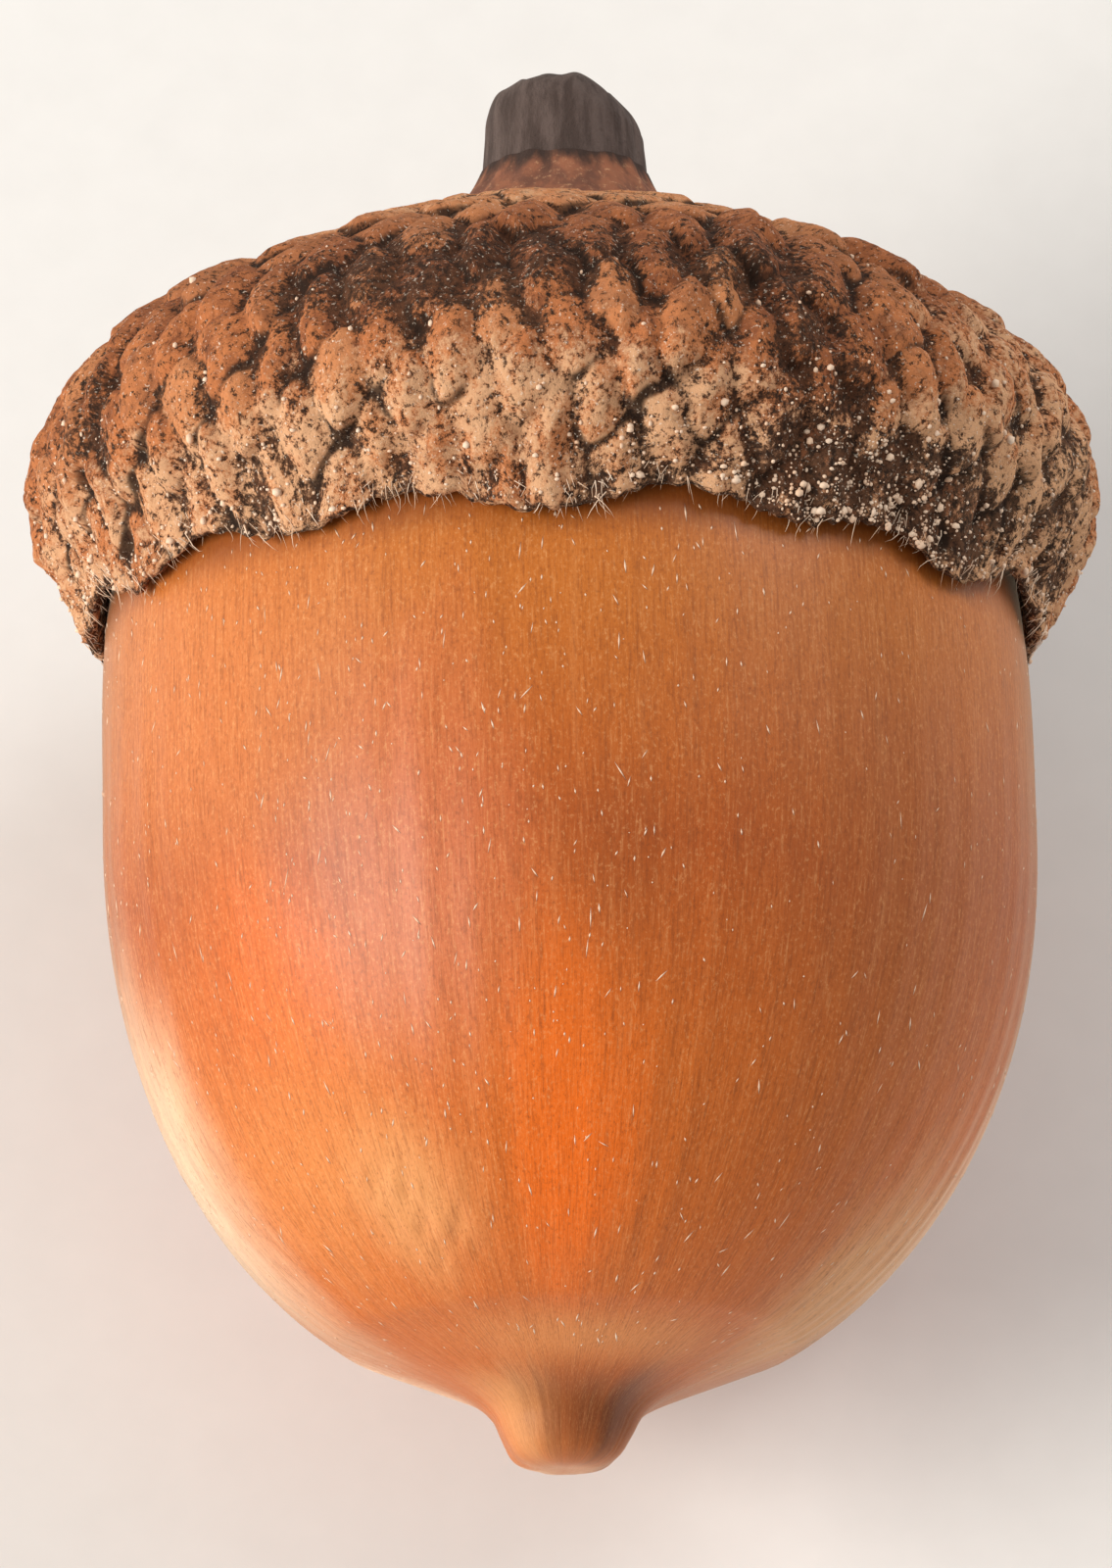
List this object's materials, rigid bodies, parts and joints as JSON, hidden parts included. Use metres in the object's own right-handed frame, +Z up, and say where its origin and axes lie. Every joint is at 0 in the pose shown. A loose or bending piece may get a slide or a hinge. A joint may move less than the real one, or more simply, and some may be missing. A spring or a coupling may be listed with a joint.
{
  "type": "acorn",
  "caption": "Acorn lying on its side: a smooth ovoid nut with a blunt nub, a saucer-shaped cap of overlapping scales and a short stub of stalk.",
  "frame": {"origin": "on the surface that the acorn lies on, under the middle of its box", "axes": "+Y along the acorn from the nut's nub towards the stalk, +X to the right seen from the nub's end, +Z up"},
  "size_m": [0.0212, 0.0276, 0.0207],
  "materials": {
    "nut_shell": "satin orange-brown shell with fine lengthwise fibres and pale specks of hair",
    "cap_scales": "dull orange-brown scales with dark crevices and a pale downy rim",
    "stalk_bark": "dull grey-brown bark"
  },
  "bodies": {
    "root": {"nut": "nut_shell", "cap": "cap_scales", "stalk": "stalk_bark"}
  },
  "joints": []
}
